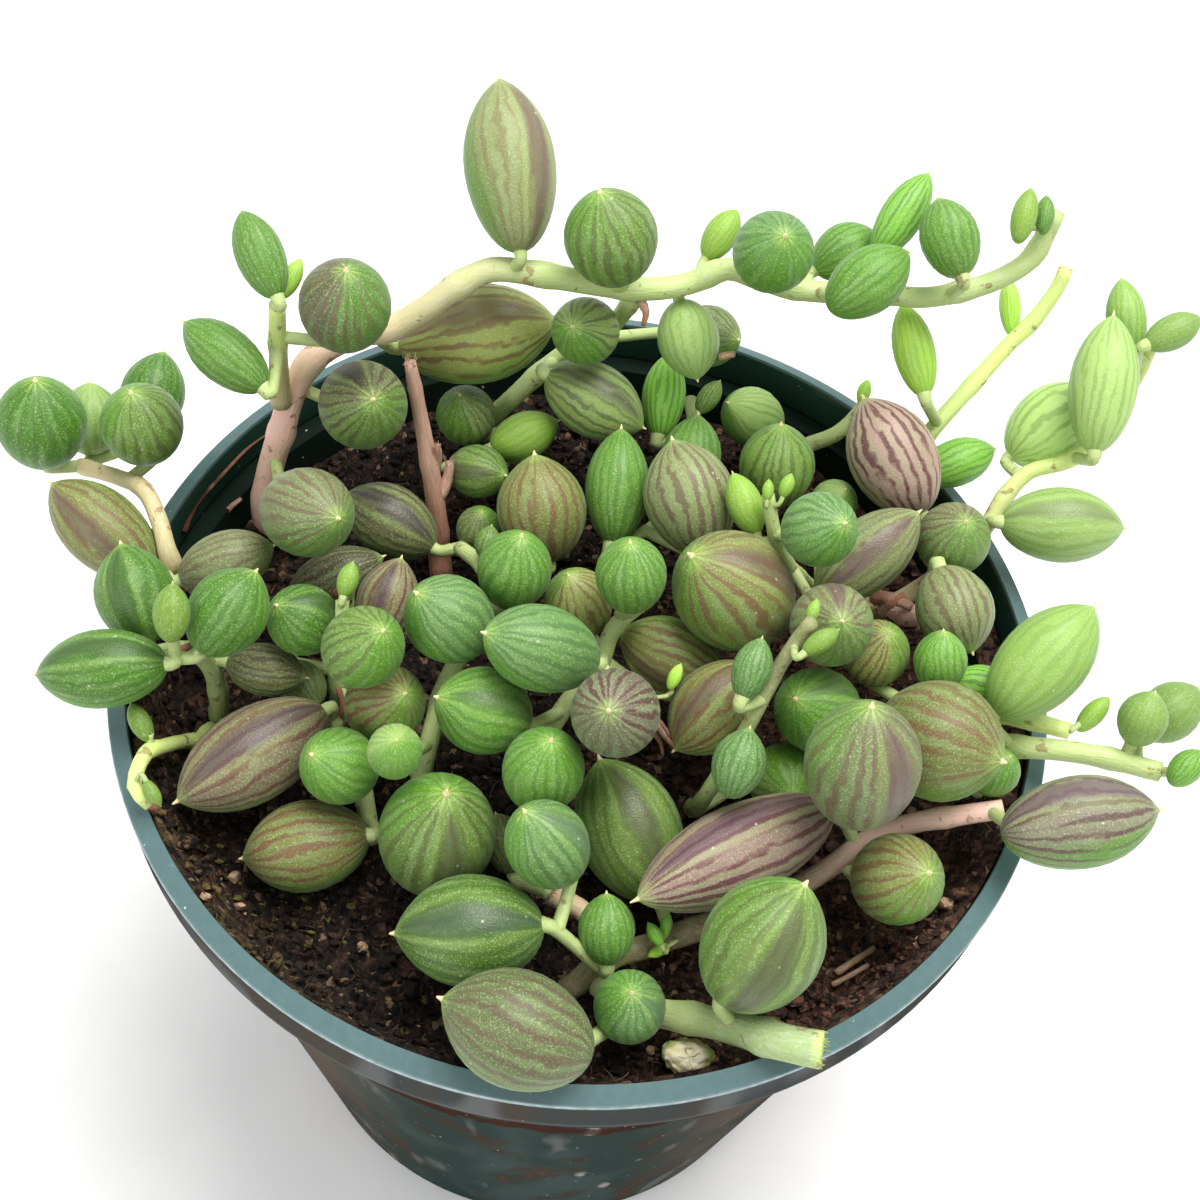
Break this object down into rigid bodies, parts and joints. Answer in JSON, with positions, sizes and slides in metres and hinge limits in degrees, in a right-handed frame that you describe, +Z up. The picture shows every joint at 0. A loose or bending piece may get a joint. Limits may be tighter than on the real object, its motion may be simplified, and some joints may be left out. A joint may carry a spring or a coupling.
{
  "type": "potted succulent plant",
  "caption": "Trailing succulent with round, pointed, striped leaves on thin stems, rooted in soil in a tapered green plastic nursery pot.",
  "frame": {"origin": "centre of the pot's flat underside", "axes": "+Z up through the pot's mouth, -Y towards the front of the pot, +X to the right"},
  "size_m": [0.128, 0.1007, 0.124],
  "materials": {
    "pot_plastic": "satin dark green injection-moulded plastic",
    "peat": "damp dark peat with fibres",
    "perlite": "cream expanded perlite, cracked on top",
    "dry_wood": "dry split flower stalk",
    "seedling_green": "smooth young plant tissue",
    "leaf_green": "smooth waxy succulent leaf skin"
  },
  "bodies": {
    "root": {"pot": "pot_plastic", "soil": "peat", "perlite_lump": "perlite", "dry_stalk": "dry_wood", "seedling": "seedling_green", "leafy_stem_back_arch": "leaf_green", "leafy_stem_back_edge": "leaf_green", "leafy_stem_back_middle": "leaf_green", "leafy_stem_back_right": "leaf_green", "leafy_stem_centre": "leaf_green", "leafy_stem_centre_left": "leaf_green", "leafy_stem_front": "leaf_green", "leafy_stem_front_left": "leaf_green", "leafy_stem_left_edge": "leaf_green", "leafy_stem_left_middle": "leaf_green", "leafy_stem_left_rim": "leaf_green", "leafy_stem_right_bud": "leaf_green", "leafy_stem_right_low": "leaf_green", "leafy_stem_right_middle": "leaf_green", "leafy_stem_right_upper": "leaf_green", "leafy_stem_young_shoot": "leaf_green"}
  },
  "joints": []
}
